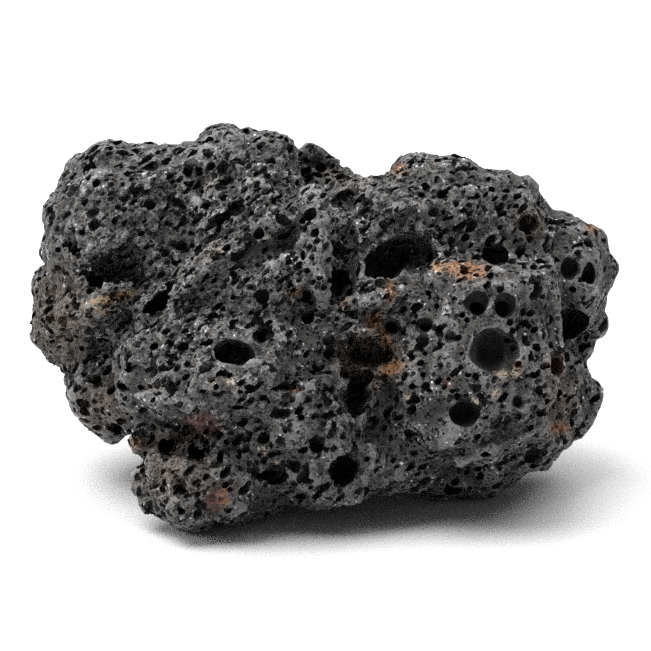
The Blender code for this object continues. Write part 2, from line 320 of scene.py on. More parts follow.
# The large blisters: (u, v), radii (across, up, into the stone), turn, depth of the middle under the skin
blisters = {
    "window": ((-35.2, 10.2), (5.0, 3.0, 4.2), 18, 0.8),
    "windowFloor": ((-33, 8), (2.7, 2.4, 2.7), 0, 0.4),
    "slot": ((-29, 4.3), (3.4, 1.6, 6), 35, 2.2),
    "gully": ((-35, 0.6), (4.6, 0.9, 1.6), 40, 0.1),
    "noseValley": ((3.7, 14.5), (2.3, 9.8, 5.4), 4, 0.9),
    "crestValley": ((-22.8, 26.6), (2.7, 6.4, 2.8), 28, 0.0),
    "crownValley": ((-6.8, 23.0), (1.0, 3.4, 2.4), -48, 0.4),
    "ribValley": ((-17.6, 18.6), (4.6, 1.1, 2.8), 36, 0.5),
    "ribValleyLow": ((-21.6, 13.4), (5.2, 1.0, 2.6), 36, 0.5),
    "underBelly": ((-25.6, -18.3), (8.2, 2.2, 4.6), -6, 0.8),
    "bellyCrack": ((-6.9, -10.6), (3.4, 0.5, 2.2), -4, 0.6),
    "windowCorner": ((-39.0, 8.0), (1.8, 1.6, 3.6), 0, 0.9),
    "slotEnd": ((-26.4, 6.4), (1.6, 1.0, 3.4), 35, 0.9),
    "hollowHigh": ((5.0, -2.6), (2.6, 1.5, 3.6), 10, 0.8),
    "hollowLow": ((4.4, -7.6), (2.4, 2.2, 4.6), -20, 0.9),
    "creviceTop": ((6.8, -9.0), (1.5, 2.0, 4.4), 0, 0.9),
    "footLedge": ((-28.5, -17.0), (4.8, 1.4, 3.2), -12, 0.7),
    "crownPit": ((-29.8, 20.8), (1.0, 1.0, 2.0), 0, 0.6),
    "crownSlit": ((-39.5, 19.3), (1.2, 0.8, 1.4), 30, 0.3),
    "crestPit": ((-17.8, 23.7), (1.1, 0.9, 1.8), 0, 0.5),
    "crestSlit": ((-17.6, 26.9), (0.9, 1.3, 1.6), -30, 0.4),
    "notch": ((-0.6, 26.9), (1.1, 0.9, 1.8), 0, 0.4),
    "browPit": ((-11.3, 15.4), (1.0, 1.0, 2.2), 0, 0.8),
    "browDent": ((-7.2, 17.9), (1.6, 1.0, 1.6), -20, 0.2),
    "ribPit": ((-14.9, 19.6), (1.4, 0.9, 2.2), 35, 0.6),
    "ribSlit": ((-18.4, 16.7), (0.8, 1.7, 2.2), -10, 0.5),
    "flankDent": ((-24.7, 13.7), (1.1, 0.9, 1.8), 0, 0.5),
    "flankSlit": ((-15, 12), (1.6, 0.8, 1.8), 30, 0.3),
    "flankPit": ((-10.6, 4.7), (1.25, 1.25, 2.6), 0, 0.9),
    "nosePit": ((-2.6, 19.1), (1.3, 1.1, 2.4), 30, 0.7),
    "nosePitLow": ((-2.1, 15.9), (0.9, 0.9, 2.2), 0, 0.8),
    "bellyBlister": ((-15.7, -4.5), (3.5, 2.4, 3.8), -8, 1.1),
    "bellySlit": ((-10.5, -1.3), (2.1, 1.4, 3.4), 30, 1.1),
    "bellyPit": ((-24.2, -3.4), (1.0, 0.9, 2.0), 0, 0.6),
    "caveNose": ((3.0, 8.1), (2.5, 3.2, 8), 0, 2.5),
    "caveNoseTop": ((2.5, 13.3), (2.2, 1.8, 4.4), 0, 1.0),
    "caveShoulder": ((10.5, 12), (5.1, 3.0, 7), 48, 2.0),
    "caveMouth": ((14.7, 12.5), (3.7, 3.5, 4.7), 0, 0.4),
    "saddleDent": ((3, 21.8), (2.3, 2.5, 3.2), 0, 0.3),
    "shoulderPit": ((28.8, 12.3), (2.4, 2.2, 4.4), 0, 1.1),
    "shoulderDent": ((18.4, 19.3), (1.1, 0.9, 1.8), 0, 0.4),
    "ear": ((34.8, 17.4), (1.9, 1.5, 2.8), -30, 0.7),
    "eyeLeft": ((26.0, 4.0), (1.7, 2.1, 2.4), 0, 0.5),
    "eyeLeftDeep": ((25.7, 3.3), (1.3, 1.3, 3.4), 0, 1.3),
    "eyeRight": ((30.8, 3.5), (1.75, 2.3, 2.3), 0, 0.5),
    "eyeRightDeep": ((30.4, 2.7), (1.3, 1.4, 3.2), 0, 1.3),
    "faceBlister": ((29.1, -4.2), (3.4, 3.8, 3.4), 0, 0.6),
    "faceBlisterDeep": ((28.1, -4.1), (2.5, 3.4, 4.0), 0, 1.2),
    "facePit": ((23.3, -15.3), (2.5, 2.2, 2.8), 0, 0.7),
    "facePitDeep": ((23.0, -14.8), (1.9, 1.6, 3.8), 0, 1.5),
    "faceDent": ((32.7, -13.2), (1.1, 1.4, 1.4), 0, 0.2),
    "faceSlit": ((36, -14.7), (0.8, 1.6, 2.0), 0, 0.5),
    "dimple": ((16.7, 0.1), (1.55, 1.35, 2.2), 0, 0.4),
    "dimpleLeft": ((11.3, -0.1), (1.55, 1.4, 2.2), 0, 0.4),
    "dimpleLow": ((21.2, -2), (1.0, 1.1, 1.2), 0, 0.2),
    "lobePit": ((41.6, 9.9), (1.4, 2.0, 3.0), 0, 0.8),
    "lobePitFar": ((45.1, 8.9), (1.2, 2.2, 3.0), 0, 0.8),
    "sideCaveLow": ((39.4, -6.5), (2.3, 2.0, 4.4), 0, 0.7),
    "hollow": ((7, -4.7), (4.7, 2.9, 5.5), 0, 1.1),
    "hollowLeft": ((0.8, -2.8), (1.1, 1.1, 2.4), 0, 0.6),
    "crevice": ((5.7, -12.3), (1.9, 4.1, 7), -6, 1.5),
    "heart": ((-1.4, -20.1), (1.3, 1.2, 2.6), 0, 0.9),
    "cleft": ((3, -25.2), (2.3, 2.7, 5.5), -38, 1.6),
    "cleftTail": ((-0.6, -28.0), (0.9, 2.2, 2.8), -38, 0.6),
    "chinPit": ((-9.1, -25.8), (2.5, 1.5, 3.4), 0, 0.9),
    "footHollow": ((-26, -19.5), (6.2, 3.1, 5.0), -10, 0.9),
    "footPit": ((-27, -20.2), (1.8, 1.6, 5), 0, 1.0),
    "footPitRight": ((-22.4, -21.5), (1.6, 1.3, 5), 0, 1.0),
    "footDent": ((-25, -27.6), (1.3, 1.6, 1.4), 0, 0.1),
    "flankSlot": ((35.3, -22.3), (1.9, 0.9, 2.8), 45, 0.5),
    "lobeLeftPit": ((-35.4, -18.0), (1.1, 1.6, 2.8), 45, 0.6),
    "lobeFarPit": ((-46.2, 6.2), (0.9, 1.1, 2.0), 0, 0.4),
    "lobeLowDent": ((-39.2, -9.3), (1.4, 1.4, 1.4), 0, 0.1),
}

# Small round pits that stand out among the bubbles: (u, v), radii across and up
pits = [
    ((-15.7, -4.5), 1.8, 1.1), ((-10.5, -1.3), 1.1, 0.7), ((-24.2, -3.3), 0.4, 0.4),
    ((-10.6, 4.7), 0.9, 0.9), ((-11.3, 15.4), 0.8, 0.8), ((-7.2, 17.9), 0.8, 0.5), ((-2.6, 19.1), 0.7, 0.6),
    ((-2.1, 15.9), 0.6, 0.6), ((-4.2, 12.0), 0.4, 0.9), ((-14.9, 19.6), 0.8, 0.4),
    ((-18.4, 16.7), 0.4, 1.0), ((-17.8, 23.7), 0.5, 0.4), ((-11.3, 23.2), 0.5, 0.4),
    ((-11.8, 25.8), 0.5, 0.4), ((-17.6, 26.9), 0.4, 0.8), ((-0.6, 26.9), 0.7, 0.6),
    ((-29.8, 20.8), 0.7, 0.7), ((-39.5, 19.3), 0.7, 0.4), ((-34.4, 24.1), 0.4, 0.4),
    ((-24.2, 18.3), 0.5, 0.4), ((-24.7, 13.7), 0.6, 0.5), ((-22.7, 11.5), 0.6, 0.4),
    ((-25.9, 10.8), 0.5, 0.5), ((-15.7, 8.6), 0.6, 0.7), ((-20.8, 7.6), 0.5, 0.5), ((-15.9, 4.7), 0.5, 0.5),
    ((-12.8, 6.5), 0.4, 0.4), ((-15.0, 12.0), 0.9, 0.5), ((28.3, 23.4), 0.6, 0.6), ((25.9, 22.0), 0.5, 0.5),
    ((18.4, 19.3), 0.6, 0.6), ((16.4, 22.2), 0.6, 0.6), ((20.3, 21.7), 0.5, 0.5), ((16.7, 0.1), 1.0, 0.9),
    ((11.3, -0.1), 1.0, 0.9), ((18.8, 3.3), 0.5, 0.5), ((23.2, 1.8), 0.5, 0.5), ((21.2, -2.0), 0.6, 0.6),
    ((16.9, -4.7), 0.5, 0.5), ((22.9, -7.1), 0.5, 0.4), ((16.6, -8.4), 0.5, 0.5), ((14.7, -10.6), 0.6, 0.6),
    ((24.2, -8.4), 0.6, 0.4), ((29.3, -17.3), 0.6, 0.6), ((36.0, -14.7), 0.5, 1.0),
    ((32.7, -13.2), 0.7, 0.9), ((27.1, -22.4), 1.0, 0.5), ((35.3, -22.5), 1.1, 0.5),
    ((31.9, -22.5), 0.5, 0.4), ((41.9, 6.0), 0.7, 0.6), ((39.0, -6.5), 1.2, 1.1), ((41.9, -16.9), 0.9, 0.9),
    ((0.8, -2.8), 0.8, 0.8), ((-20.1, -19.1), 0.6, 0.6), ((-17.9, -22.0), 0.6, 1.0),
    ((-24.2, -16.9), 0.6, 0.5), ((-35.4, -18.1), 0.7, 1.0), ((-46.2, 6.2), 0.5, 0.7),
    ((-45.6, 12.8), 0.5, 0.5), ((-41.4, -4.0), 0.5, 0.5), ((-4.0, -15.6), 0.5, 0.5),
    ((-9.6, -13.0), 0.4, 0.4), ((-15.0, -14.4), 1.0, 0.4), ((-13.2, -10.5), 0.7, 0.5),
    ((1.6, -16.9), 0.5, 0.7), ((-6.9, -18.1), 0.4, 0.4), ((-5.9, -27.6), 0.5, 0.5),
    ((-24.9, -3.7), 0.4, 0.4), ((-1.6, -20.8), 1.2, 1.0),
]

# The hollows whose walls are torn instead of smooth
tornHollows = {
    "window", "windowFloor", "windowCorner", "slot", "slotEnd", "gully",
    "crestValley", "crownValley", "noseValley", "ribValley", "ribValleyLow", "ribSlit",
    "saddleDent", "shoulderPit", "ear", "caveShoulder", "caveMouth", "caveNose", "caveNoseTop", "sideCaveLow",
    "bellySlit", "bellyCrack", "underBelly", "hollow", "hollowHigh", "hollowLow", "crevice", "creviceTop",
    "cleft", "cleftTail", "heart", "chinPit",
    "footHollow", "footLedge", "footPit", "footPitRight", "footDent", "lobeLowDent",
}

blisterCut = {
    "grain": 1.9,              # mm, how coarse the walls' waves are
    "torn": 2.6,               # mm that a torn wall strays
    "smooth": 0.35,
    "sightReach": 1.15,        # how far outside its mouth a blister's skin is measured, against its radius
    "pitReach": 1.3,           # the same for a pit
    "pitDepth": 2.0,           # a pit's ball's depth against its larger radius
    "pitSunk": 0.35,           # how far in its middle is, against that depth
    "pitWiden": 1.07,          # makes up for the ball's flat faces
}

bubbles = {
    "seed": 5,
    "smallest": 0.46,          # mm, radius at the mouth
    "largest": 1.25,
    "steepness": 3.0,          # how much more common small bubbles are
    "rounderFrom": 1.0,        # mm, reach from which a bubble's ball has more faces
    "tries": 60000,            # places drawn on the skin, of which the first ones on each side are used
    "frontCount": 3700,
    "backCount": 1500,
    "edgeOn": 0.05,            # the cosine of the sight line's angle that parts the front from the far side
    "groundClear": 1.6,        # mm, none under this height
    "wallClear": 1.1,          # against a smooth blister's radius: none on its wall
    "leastWall": 1.0,          # mm of stone left behind a bubble
    "calmShare": 0.62,         # the share that is left where nothing is torn
    "tornShrink": 0.3,         # how much narrower the wide ones are where it is torn
    "shrinkFrom": 1.3,         # against the smallest
    "stretch": 0.3,            # up to so much longer than wide
    "tornStretch": 0.55,       # and so much more where it is torn
    "sunk": (0.3, 0.62),       # how far in the ball's middle is, against the ball's depth
    "depth": (1.5, 2.5),       # the ball's depth against its radius
}


def ballMesh(fineness):
    bpy.ops.mesh.primitive_ico_sphere_add(subdivisions=fineness, radius=1)
    ball = bpy.context.object
    corners = np.array([vert.co for vert in ball.data.vertices])
    faces = np.array([face.vertices for face in ball.data.polygons])
    bpy.data.objects.remove(ball)
    return corners, faces


def cutterFrom(name, balls, corners, faces):
    # each ball: its middle and a 3 x 3 matrix whose columns are its axes times its radii, in mm
    mesh = bpy.data.meshes.new(name)
    allCorners = np.concatenate([(corners @ shape.T + middle) * mm for middle, shape in balls])
    allFaces = np.concatenate([faces + len(corners) * index for index in range(len(balls))])
    mesh.from_pydata(allCorners.tolist(), [], allFaces.tolist())
    cutter = bpy.data.objects.new(name, mesh)
    bpy.context.scene.collection.objects.link(cutter)
    return cutter


def cutAway(stone, cutters):
    group = bpy.data.collections.new("cutters")
    bpy.context.scene.collection.children.link(group)
    for cutter in cutters:
        group.objects.link(cutter)
    addModifier(stone, "BOOLEAN", operation="DIFFERENCE", solver="MANIFOLD", operand_type="COLLECTION",
                collection=group)
    applyModifiers(stone)
    for cutter in cutters:
        bpy.data.objects.remove(cutter)
    bpy.data.collections.remove(group)


def batchesOf(middles, reaches):
    # balls that touch each other go into different batches, because a cutter may not cross itself
    tree = KDTree(len(middles))
    for index, middle in enumerate(middles):
        tree.insert(middle, index)
    tree.balance()
    widest = max(reaches)
    batch = np.full(len(middles), -1)
    for index in np.argsort(-np.array(reaches)):
        near = [other for _, other, gap in tree.find_range(middles[index], reaches[index] + widest)
                if other != index and batch[other] >= 0 and gap < (reaches[index] + reaches[other]) * 1.02]
        taken = {batch[other] for other in near}
        batch[index] = next(number for number in range(len(middles)) if number not in taken)
    return [np.flatnonzero(batch == number) for number in range(batch.max() + 1)]


smoothBlisters = []        # the middle and shape of each blister with a smooth wall, for the finish


def onSmoothWall(points, reach):
    walls = np.zeros(len(points))
    for middle, shape in smoothBlisters:
        away = np.linalg.norm((points - np.array(middle)) @ np.linalg.inv(shape).T, axis=1)
        walls = np.maximum(walls, np.clip((reach - away) * 12, 0, 1))
    return walls


def cutBlisters(stone):
    tree = treeOf(stone)
    cutters = []
    for name, ((u, v), radii, turn, depth) in blisters.items():
        place, outward = skinPlace(tree, u, v, max(radii[0], radii[1]) * blisterCut["sightReach"])
        shape = boardTurn(turn) @ np.diag((radii[0], radii[2], radii[1]))
        wall = "torn" if name in tornHollows else "smooth"
        if wall == "smooth":
            smoothBlisters.append((place - outward * depth, shape))
        cutter = addBall(name, place - outward * depth, shape, 4)
        addDisplace(cutter, "CLOUDS", blisterCut["grain"], blisterCut[wall], 0.5)
        applyModifiers(cutter)
        cutters.append(cutter)
    for (u, v), across, up in pits:
        place, outward = skinPlace(tree, u, v, max(across, up) * blisterCut["pitReach"])
        deep = blisterCut["pitDepth"] * max(across, up)
        shape = boardTurn(0) @ np.diag((across, deep, up)) * blisterCut["pitWiden"]
        cutter = addBall("pit", place - outward * deep * blisterCut["pitSunk"], shape, 3)
        addDisplace(cutter, "CLOUDS", blisterCut["grain"] / 2, blisterCut["smooth"], 0.5)
        applyModifiers(cutter)
        cutters.append(cutter)
    cutAway(stone, cutters)
    print("blisters:", len(cutters), "->", triangleCount(stone), "triangles")


def skinSamples(stone, count, rng):
    mesh = stone.data
    mesh.calc_loop_triangles()
    points = pointsOf(stone)
    corners = np.array([triangle.vertices for triangle in mesh.loop_triangles])
    a, b, c = points[corners[:, 0]], points[corners[:, 1]], points[corners[:, 2]]
    cross = np.cross(b - a, c - a)
    area = np.linalg.norm(cross, axis=1)
    chosen = rng.choice(len(area), count, p=area / area.sum())
    mix = rng.random((count, 2))
    mix = np.where(mix.sum(1, keepdims=True) > 1, 1 - mix, mix)
    places = a[chosen] + (b - a)[chosen] * mix[:, :1] + (c - a)[chosen] * mix[:, 1:]
    return places, cross[chosen] / area[chosen, None]


def facingOf(points, normals):
    toEye = np.array(eye) - points
    return (normals * toEye).sum(1) / np.linalg.norm(toEye, axis=1)


def bubblePlaces(stone, rng):
    places, normals = skinSamples(stone, bubbles["tries"], rng)
    u, v, w = boardPlaces(places)
    front = facingOf(places, normals) > bubbles["edgeOn"]
    torn = np.where(front, tornShare(u, v), tornBehind(u, v, w))
    keep = np.concatenate([np.flatnonzero(front)[:bubbles["frontCount"]],
                           np.flatnonzero(~front)[:bubbles["backCount"]]])
    keep = keep[places[keep, 2] > bubbles["groundClear"]]
    keep = keep[onSmoothWall(places[keep], bubbles["wallClear"]) < rng.random(len(keep))]
    keep = keep[rng.random(len(keep)) < bubbles["calmShare"] + torn[keep]]
    return places[keep], normals[keep], torn[keep]


def bubbleBalls(stone, rng):
    # the balls that cut the bubbles, and how far each reaches
    tree = treeOf(stone)
    balls = []
    reaches = []
    flowAlong = boardTurn(flow["rise"])[:, 0]
    span = (bubbles["smallest"] / bubbles["largest"]) ** bubbles["steepness"]
    for place, normal, torn in zip(*bubblePlaces(stone, rng)):
        radius = bubbles["smallest"] * (1 - rng.random() * (1 - span)) ** (-1 / bubbles["steepness"])
        along = flowAlong - normal * (flowAlong @ normal)
        along = along / max(np.linalg.norm(along), 0.001)
        across = np.cross(normal, along)
        wide = radius > bubbles["smallest"] * bubbles["shrinkFrom"]
        radius *= 1 - bubbles["tornShrink"] * torn * wide
        stretch = 1 + rng.uniform(0.0, bubbles["stretch"]) + torn * rng.uniform(0.0, bubbles["tornStretch"])
        sunk = rng.uniform(*bubbles["sunk"])
        deep = radius * rng.uniform(*bubbles["depth"])
        wall = tree.ray_cast(Vector(place - normal * 0.2), Vector(-normal))[3]
        if wall is not None and wall < deep * (1 + sunk) + bubbles["leastWall"]:
            continue
        radius = radius / math.sqrt(1 - sunk ** 2)
        axes = along * radius * stretch, across * radius / math.sqrt(stretch), normal * deep
        shape = np.stack(axes, axis=1)
        balls.append((place - normal * deep * sunk, shape))
        reaches.append(max(radius * stretch, deep))
    return balls, np.array(reaches)


def cutBubbles(stone):
    balls, reaches = bubbleBalls(stone, np.random.default_rng(bubbles["seed"]))
    cutters = []
    for fineness, members in ((1, np.flatnonzero(reaches < bubbles["rounderFrom"])),
                              (2, np.flatnonzero(reaches >= bubbles["rounderFrom"]))):
        corners, faces = ballMesh(fineness)
        for batch in batchesOf([Vector(balls[index][0]) for index in members], reaches[members]):
            cutters.append(cutterFrom("bubbles", [balls[members[index]] for index in batch], corners, faces))
    cutAway(stone, cutters)
    print("bubbles:", len(balls), "in", len(cutters), "batches ->", triangleCount(stone), "triangles")


def dropCrumbs(stone):
    # pieces that the bubbles cut loose
    bpy.ops.object.mode_set(mode="EDIT")
    bpy.ops.mesh.separate(type="LOOSE")
    bpy.ops.object.mode_set(mode="OBJECT")
    pieces = sorted(bpy.context.selected_objects, key=lambda piece: len(piece.data.vertices))
    for crumb in pieces[:-1]:
        bpy.data.objects.remove(crumb)
    return pieces[-1]


def farSide(stone, points):
    # 1 on the sides that face away from the front, which do with larger faces
    facing = facingOf(points, normalsOf(stone))
    w = boardPlaces(points)[2]
    return np.clip(0.5 - facing, 0, 1) * np.clip(0.6 - w / 20, 0, 1)


def makeStone():
    stone = buildSkin()
    skinTree = treeOf(stone)
    cutBlisters(stone)
    cutBubbles(stone)
    selectOnly(stone)
    stone = dropCrumbs(stone)
    points = pointsOf(stone)
    addModifier(stone, "SMOOTH", iterations=1, factor=0.2)
    weighVertices(stone, "far", skin["farLeast"] + (1 - skin["farLeast"]) * farSide(stone, points))
    addModifier(stone, "DECIMATE", ratio=min(1.0, skin["triangles"] / triangleCount(stone)),
                use_collapse_triangulate=True, vertex_group="far", vertex_group_factor=skin["farFactor"])
    applyModifiers(stone)
    stone.vertex_groups.clear()
    selectOnly(stone)
    bpy.ops.object.shade_smooth_by_angle(angle=math.radians(skin["sharp"]))
    markSurface(stone, skinTree)
    print("stone:", triangleCount(stone), "triangles")
    return stone


# ---- what the finish reads from the surface

# Where minerals coloured the stone, and where a sheen is painted on (kind sheen): kind, (u, v), radii
# (across, up), turn, strength
stainsAndSheen = {
    "windowOchre": ("ochre", (-36.2, 4.6), (3.4, 0.8), 12, 1.1),
    "windowOchreLow": ("ochre", (-38.0, 2.4), (1.4, 0.7), 0, 0.7),
    "flankCream": ("cream", (-18.8, 12.5), (2.4, 1.1), 15, 0.6),
    "noseRust": ("rust", (-4.8, 5.7), (1.6, 1.3), 0, 0.55),
    "lipRust": ("rust", (11.0, 5.9), (1.0, 1.8), 0, 1.0),
    "hollowRust": ("rust", (8.2, 0.8), (1.1, 1.5), -30, 1.0),
    "hollowRustMid": ("rust", (10.0, -2.4), (0.9, 2.2), 20, 1.0),
    "bellyRust": ("rust", (-5.6, -10.8), (1.2, 0.5), 0, 0.9),
    "creviceTan": ("cream", (8.8, -10.3), (0.5, 1.0), 0, 0.8),
    "hollowRustLow": ("rust", (11.0, -7.2), (2.0, 1.3), 20, 0.9),
    "hollowBrown": ("brown", (7.7, -5.4), (6.0, 3.8), 0, 1.0),
    "caveGrains": ("rust", (3.3, 3.8), (1.4, 0.9), 0, 0.6),
    "shoulderRust": ("rust", (23.9, 9.4), (3.3, 1.4), -8, 1.0),
    "shoulderOchre": ("ochre", (19.1, 9.9), (1.1, 0.9), 0, 1.0),
    "skylineRust": ("rust", (12.2, 26.8), (1.5, 1.0), 0, 0.8),
    "lobeRust": ("rust", (45.1, 16.7), (1.3, 1.0), 0, 0.8),
    "earBrown": ("brown", (34.8, 17.6), (2.6, 2.2), 0, 1.0),
    "footRed": ("darkRed", (-21.0, -17.1), (3.0, 2.1), 0, 1.0),
    "footRedLow": ("darkRed", (-18.4, -29.2), (2.6, 1.9), 30, 0.9),
    "footRustLow": ("rust", (-17.2, -29.6), (0.9, 1.9), 0, 0.7),
    "footRust": ("rust", (-32.0, -20.0), (1.1, 1.0), 0, 0.9),
    "footRustLeft": ("rust", (-34.4, -21.5), (1.1, 0.8), 0, 0.9),
    "lowLobeRust": ("rust", (39.4, -17.4), (1.8, 1.2), 0, 0.9),
    "lowLobeRed": ("darkRed", (39.0, -6.7), (2.4, 2.0), 0, 0.8),
    "lowLobeBrown": ("brown", (42.2, -12.7), (5.5, 7.0), 0, 0.7),
    "blisterGrains": ("cream", (31.0, -8.2), (2.1, 0.6), 0, 1.0),
    "faceDotLeft": ("cream", (25.4, -12.7), (0.55, 0.4), 0, 1.5),
    "faceDotRight": ("cream", (28.9, -11.6), (0.6, 0.6), 0, 1.3),
    "blisterRust": ("rust", (32.6, -7.0), (0.9, 0.9), 0, 0.9),
    "faceDotTan": ("cream", (14.0, -12.2), (0.7, 0.5), 0, 1.0),
    "faceDotRed": ("darkRed", (20.7, -9.9), (0.6, 0.6), 0, 1.2),
    "leftLobeBrown": ("brown", (-45.0, 1.8), (6.0, 9.0), 0, 0.75),
    "leftLowBrown": ("brown", (-38.0, -13.0), (6.0, 7.0), 0, 0.6),
    "saddleBrown": ("brown", (3.0, 26.0), (7.0, 4.0), -30, 0.5),
    "bellyFleckLeft": ("cream", (-19.1, -9.4), (0.45, 0.5), 0, 1.4),
    "bellyFleckRight": ("cream", (-16.4, -9.6), (0.5, 0.5), 0, 1.4),
    "bellyFleckFar": ("cream", (-29.3, -10.3), (0.8, 0.4), 0, 1.2),
    "bellyFleckHigh": ("pale", (-4.8, -4.7), (0.6, 0.4), 0, 1.2),
    "bellyFleckLow": ("pale", (-13.9, -18.4), (0.6, 0.8), 30, 1.2),
    "chinFleck": ("cream", (-10.5, -21.2), (0.8, 0.5), 40, 1.1),
    "chinFleckRight": ("cream", (-8.4, -23.2), (0.4, 0.4), 0, 1.3),
    "footFleck": ("pale", (-12.8, -29.0), (0.5, 0.7), 0, 1.2),
    "crownFleck": ("pale", (-30.3, 27.0), (0.3, 0.8), 0, 1.3),
    "crownFleckMid": ("pale", (-37.1, 22.5), (0.3, 0.8), 20, 1.3),
    "crownFleckFar": ("pale", (-41.1, 22.9), (0.8, 0.4), -30, 1.3),
    "crestCream": ("cream", (-20.0, 24.4), (1.3, 0.8), 20, 0.65),
    "crestPale": ("pale", (-18.3, 29.3), (0.8, 0.9), 0, 0.8),
    "ribFleck": ("pale", (-20.5, -0.4), (0.7, 0.3), 0, 1.3),
    "ribFleckRight": ("pale", (-14.4, -0.1), (0.6, 0.4), 0, 1.2),
    "lipFleckLeft": ("pale", (0.8, -1.6), (0.9, 0.4), 0, 1.1),
    "lipFleckRight": ("pale", (3.4, -0.7), (0.8, 0.4), 20, 1.1),
    "lipFleckHigh": ("pale", (12.4, 6.4), (0.6, 0.4), 0, 1.2),
    "shoulderFleck": ("pale", (20.6, 2.6), (0.5, 0.8), -20, 1.2),
    "earFleck": ("pale", (38.2, 16.0), (0.9, 0.4), 0, 1.2),
    "crestSheen": ("sheen", (-17.1, 31.8), (2.8, 2.4), 0, 1.0),
    "noseSheen": ("sheen", (-2.3, 22.4), (2.2, 2.2), 0, 1.0),
    "noseSlab": ("sheen", (-1.9, 11.6), (1.9, 4.4), 0, 1.0),
    "crownSheen": ("sheen", (-40.5, 24.6), (3.4, 1.6), 40, 0.9),
    "bellySheen": ("sheen", (-22.5, -13.4), (5.0, 1.1), -14, 0.8),
    "footBrown": ("brown", (-26.0, -24.0), (9.0, 8.0), 0, 0.6),
}
stainAndSheenKinds = ("rust", "ochre", "cream", "darkRed", "brown", "pale", "sheen")

marking = {
    "ridgeRounds": (3, 30),    # rounds of smoothing that an edge, and a whole lump, is measured against
    "wallReach": 1.08,         # against a smooth blister's radius
    "bandsEnd": -8,            # mm, w behind which the torn bands of the far side begin
    "stainsEnd": -10,          # mm, w behind which there are no stains and no painted sheen
    "stainDepth": 3.0,         # mm that a stain or a painted sheen reaches to the front and back, besides its larger radius
}


def neighbourMean(values, edges, count):
    total = np.zeros_like(values)
    np.add.at(total, edges[:, 0], values[edges[:, 1]])
    np.add.at(total, edges[:, 1], values[edges[:, 0]])
    return total / (count[:, None] if values.ndim > 1 else count)


def ridgesOf(stone, points, rounds):
    # how far each point stands out of the points round it, in mm, for each number of rounds of smoothing
    normals = normalsOf(stone)
    edges = np.empty(len(stone.data.edges) * 2, np.int32)
    stone.data.edges.foreach_get("vertices", edges)
    edges = edges.reshape(-1, 2)
    count = np.bincount(edges.ravel(), minlength=len(points)).clip(1)
    middle = points
    found = []
    for turn in range(1, max(rounds) + 1):
        middle = neighbourMean(middle, edges, count)
        if turn in rounds:
            ridge = ((points - middle) * normals).sum(1)
            found.append(0.5 * ridge + 0.5 * neighbourMean(ridge, edges, count))
    return found


def storeOnPoints(stone, name, values):
    stone.data.attributes.new(name, "FLOAT", "POINT").data.foreach_set("value", values.astype(np.float32))


def stainAndSheenShare(places, skinTree, spot, radii, turn):
    # 1 at the middle of a stain or a painted sheen, fading over its radii, and over a few mm in front of and
    # behind its place on the skin, so that it isn't drawn out along the sides
    u, v, w = places
    turn = math.radians(turn)
    along = (u - spot[0]) * math.cos(turn) + (v - spot[1]) * math.sin(turn)
    across = (v - spot[1]) * math.cos(turn) - (u - spot[0]) * math.sin(turn)
    share = np.exp(-0.7 * ((along / radii[0]) ** 2 + (across / radii[1]) ** 2)) * (w > marking["stainsEnd"])
    middle, outward = skinPlace(skinTree, *spot, min(radii))
    if outward.length > 0:         # its sight lines meet the stone
        apart = np.abs(w - boardPlaces(np.array([middle]))[2])
        share = share * np.clip(2.0 - apart / (max(radii) + marking["stainDepth"]), 0, 1)
    return share


def markSurface(stone, skinTree):
    points = pointsOf(stone)
    places = u, v, w = boardPlaces(points)
    for name, ridge in zip(("ridge", "form"), ridgesOf(stone, points, marking["ridgeRounds"])):
        storeOnPoints(stone, name, ridge)
    # how deep under the first skin each point lies, for the painted shade in hollows
    storeOnPoints(stone, "hollow", np.array([skinTree.find_nearest(Vector(point))[3] for point in points]))
    storeOnPoints(stone, "glazed", onSmoothWall(points, marking["wallReach"]))
    storeOnPoints(stone, "torn", np.where(w > marking["bandsEnd"], tornShare(u, v), tornBehind(u, v, w)))
    shares = {kind: np.zeros(len(points)) for kind in stainAndSheenKinds}
    for kind, spot, radii, turn, strength in stainsAndSheen.values():
        share = strength * stainAndSheenShare(places, skinTree, spot, radii, turn)
        shares[kind] = np.maximum(shares[kind], share)
    for kind, share in shares.items():
        storeOnPoints(stone, kind, share)
    print("marks:", len(stainsAndSheen), "stainsAndSheen")


stone = makeStone()


# ---- the finish

class Wire:
    # one output of a material's node: arithmetic on it adds Math nodes
    def __init__(self, tree, socket=None):
        self.tree = tree
        self.socket = socket

    def node(self, kind, settings, inputs, output=0):
        made = self.tree.nodes.new("ShaderNode" + kind)
        for name, value in settings.items():
            setattr(made, name, value)
        for name, value in inputs.items():
            if isinstance(value, Wire):
                self.tree.links.new(value.socket, made.inputs[name])
            else:
                made.inputs[name].default_value = value
        return Wire(self.tree, made.outputs[output] if made.outputs else None)

    def out(self, name):
        return Wire(self.tree, self.socket.node.outputs[name])

    def math(self, operation, first, second=0.0):
        return self.node("Math", {"operation": operation}, {0: first, 1: second})

    def __add__(self, other):
        return self.math("ADD", self, other)

    def __sub__(self, other):
        return self.math("SUBTRACT", self, other)

    def __rsub__(self, other):
        return self.math("SUBTRACT", other, self)

    def __mul__(self, other):
        return self.math("MULTIPLY", self, other)

    __radd__ = __add__
    __rmul__ = __mul__


def rise(value, low, high, start=0.0, end=1.0):
    # start below low, end above high, and a smooth change between
    return value.node("MapRange", {"interpolation_type": "SMOOTHSTEP"},
                      {"Value": value, "From Min": low, "From Max": high, "To Min": start, "To Max": end})


def tint(share, colour, other):
    return share.node("Mix", {"data_type": "RGBA"}, {0: share, 6: colour, 7: other}, 2)


def cloud(place, grain, detail, rough):
    # grain: the size of the largest patches, in mm
    return place.node("TexNoise", {},
                      {"Vector": place, "Scale": 1 / grain, "Detail": detail, "Roughness": rough})


def stretchedPlace(place, turn, stretch):
    return place.node("Mapping", {"vector_type": "TEXTURE"},
                      {"Vector": place, "Rotation": turn, "Scale": stretch})


